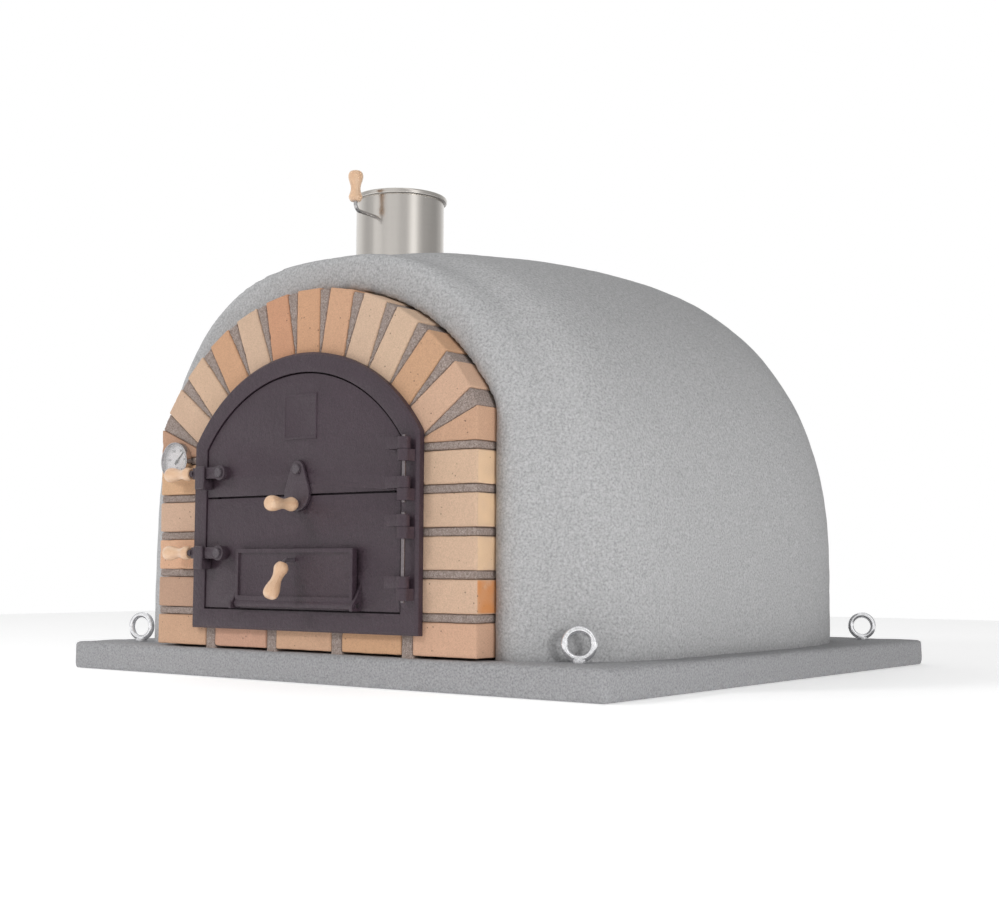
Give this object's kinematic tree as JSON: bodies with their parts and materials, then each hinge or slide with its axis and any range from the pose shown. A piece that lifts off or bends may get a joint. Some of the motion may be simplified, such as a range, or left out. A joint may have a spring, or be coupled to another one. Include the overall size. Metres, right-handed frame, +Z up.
{
  "type": "wood fired pizza oven",
  "caption": "Domed wood fired pizza oven on a concrete slab, with a brick arch, split cast iron doors, draught flap, side latches, damper flue and thermometer.",
  "frame": {"origin": "centre of the slab's underside", "axes": "+X to the right seen from the front, +Y to the back, +Z up"},
  "size_m": [1.1, 1.1742, 0.8102],
  "materials": {
    "slab_concrete": "fine pitted cement",
    "render": "sprayed speckled render",
    "insulation": "ceramic fibre",
    "refractory": "cast refractory",
    "firebrick_tile": "smooth firebrick",
    "brick_sand": "sanded clay",
    "brick_terracotta": "sanded clay",
    "mortar": "sandy",
    "cast_iron": "sand-cast, dark matt",
    "steel": "zinc plated",
    "stainless": "brushed",
    "beech": "varnished",
    "gauge_glass": "clear",
    "dial_white": "white enamel",
    "needle_black": "black"
  },
  "bodies": {
    "oven": {"arch_brick_01": "brick_sand", "arch_brick_02": "brick_sand", "arch_brick_03": "brick_terracotta", "arch_brick_04": "brick_sand", "arch_brick_05": "brick_terracotta", "arch_brick_06": "brick_terracotta", "arch_brick_07": "brick_terracotta", "arch_brick_08": "brick_sand", "arch_brick_09": "brick_sand", "arch_brick_10": "brick_terracotta", "arch_brick_11": "brick_terracotta", "base_slab": "slab_concrete", "dome_half_left": "refractory", "dome_half_right": "refractory", "door_frame": "cast_iron", "facade_mortar": "mortar", "flue_pipe": "stainless", "frame_anchor_tabs": "steel", "hearth_insulation_board": "insulation", "hearth_tiles": "firebrick_tile", "insulation_layer": "insulation", "jamb_bricks_left": "brick_sand", "jamb_bricks_right": "brick_sand", "lifting_eye_bolts": "steel", "lower_hinge_pin": "steel", "lower_latch_keeper": "cast_iron", "render_shell": "render", "sill_bricks": "brick_terracotta", "springer_brick_left": "brick_terracotta", "springer_brick_right": "brick_terracotta", "thermometer_case": "steel", "thermometer_dial": "dial_white", "thermometer_glass": "gauge_glass", "thermometer_stem": "steel", "throat_arch": "refractory", "upper_hinge_pin": "steel", "upper_latch_keeper": "cast_iron"},
    "lower_door": {"lower_door": "cast_iron", "lower_latch_pivot": "steel", "draught_flap_pin": "steel"},
    "upper_door": {"upper_door": "cast_iron", "upper_latch_pivot": "steel", "centre_latch_pivot": "steel"},
    "lower_latch": {"lower_latch_lever": "cast_iron", "lower_latch_grip": "beech"},
    "upper_latch": {"upper_latch_lever": "cast_iron", "upper_latch_grip": "beech"},
    "centre_latch": {"centre_latch_plate": "cast_iron", "centre_latch_knob": "beech"},
    "draught_flap": {"draught_flap": "cast_iron", "draught_handle_rod": "steel", "draught_handle_grip": "beech"},
    "damper": {"damper_plate": "stainless", "damper_shaft": "steel", "damper_screws": "steel", "damper_grip": "beech"},
    "thermometer_needle": {"thermometer_needle": "needle_black"}
  },
  "joints": [
    {"name": "lower_door_hinge", "type": "hinge", "parent": "oven", "child": "lower_door", "pos_m": [0.223, -0.572, 0.19], "axis": [0, 0, 1], "range_deg": [0, 90]},
    {"name": "upper_door_hinge", "type": "hinge", "parent": "lower_door", "child": "upper_door", "pos_m": [0.223, -0.572, 0.32], "axis": [0, 0, 1], "range_deg": [0, 90]},
    {"name": "lower_latch_turn", "type": "hinge", "parent": "lower_door", "child": "lower_latch", "pos_m": [-0.162, -0.5705, 0.197], "axis": [0, 1, 0], "range_deg": [0, 45]},
    {"name": "upper_latch_turn", "type": "hinge", "parent": "upper_door", "child": "upper_latch", "pos_m": [-0.162, -0.5705, 0.324], "axis": [0, 1, 0], "range_deg": [0, 45]},
    {"name": "centre_latch_turn", "type": "hinge", "parent": "upper_door", "child": "centre_latch", "pos_m": [0, -0.5605, 0.324], "axis": [0, 1, 0], "range_deg": [-90, 90]},
    {"name": "draught_flap_hinge", "type": "hinge", "parent": "lower_door", "child": "draught_flap", "pos_m": [0, -0.566, 0.119], "axis": [1, 0, 0], "range_deg": [0, 40]},
    {"name": "damper_turn", "type": "hinge", "parent": "oven", "child": "damper", "pos_m": [0, -0.33, 0.74622], "axis": [0.1045, -0.9945, 0], "range_deg": [0, 90]},
    {"name": "thermometer_needle_turn", "type": "hinge", "parent": "oven", "child": "thermometer_needle", "pos_m": [-0.291, -0.55, 0.348], "axis": [0, 1, 0], "range_deg": [-180, 90]}
  ]
}
